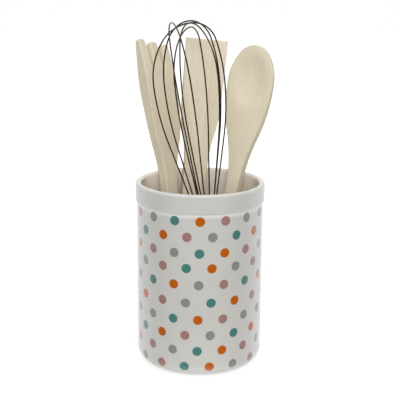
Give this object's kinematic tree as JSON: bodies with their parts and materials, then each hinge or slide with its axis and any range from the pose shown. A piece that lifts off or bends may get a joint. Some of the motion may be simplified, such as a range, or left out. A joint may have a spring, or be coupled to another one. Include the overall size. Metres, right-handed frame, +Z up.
{
  "type": "utensil crock",
  "caption": "Straight glazed ceramic crock with a raised plain rim band and staggered polka dots, holding a wooden fork, spatula and spoon and a wire balloon whisk that lift out.",
  "frame": {"origin": "middle of the ring foot, on the surface that the crock stands on", "axes": "+Z up along the crock's axis, -Y towards the front that the picture shows, +X to the right"},
  "size_m": [0.1181, 0.1253, 0.2873],
  "materials": {
    "glazed_stoneware": "off-white gloss glaze with printed dots in orange, teal, grey and mauve; unglazed foot ring",
    "pale_wood": "sanded pale hardwood, unvarnished",
    "collar_steel": "satin stainless steel",
    "plug_resin": "cast dark resin",
    "wire_steel": "drawn and polished stainless steel wire"
  },
  "bodies": {
    "crock": {"crock_body": "glazed_stoneware"},
    "fork": {"wooden_fork": "pale_wood"},
    "spatula": {"wooden_spatula": "pale_wood"},
    "spoon": {"wooden_spoon": "pale_wood"},
    "whisk": {"whisk_handle": "pale_wood", "whisk_ferrule": "collar_steel", "whisk_wire_plug": "plug_resin", "whisk_wire_loop_1": "wire_steel", "whisk_wire_loop_2": "wire_steel", "whisk_wire_loop_3": "wire_steel", "whisk_wire_loop_4": "wire_steel", "whisk_wire_loop_5": "wire_steel"}
  },
  "joints": [
    {"name": "fork_lift", "type": "slide", "parent": "crock", "child": "fork", "axis": [-0.0778, 0.1807, 0.9805], "range_m": [0, 0.16]},
    {"name": "spatula_lift", "type": "slide", "parent": "crock", "child": "spatula", "axis": [0.0872, 0.0964, 0.9915], "range_m": [0, 0.16]},
    {"name": "spoon_lift", "type": "slide", "parent": "crock", "child": "spoon", "axis": [0.1566, 0.1016, 0.9824], "range_m": [0, 0.16]},
    {"name": "whisk_lift", "type": "slide", "parent": "crock", "child": "whisk", "axis": [-0.1256, 0.0628, 0.9901], "range_m": [0, 0.16]}
  ]
}
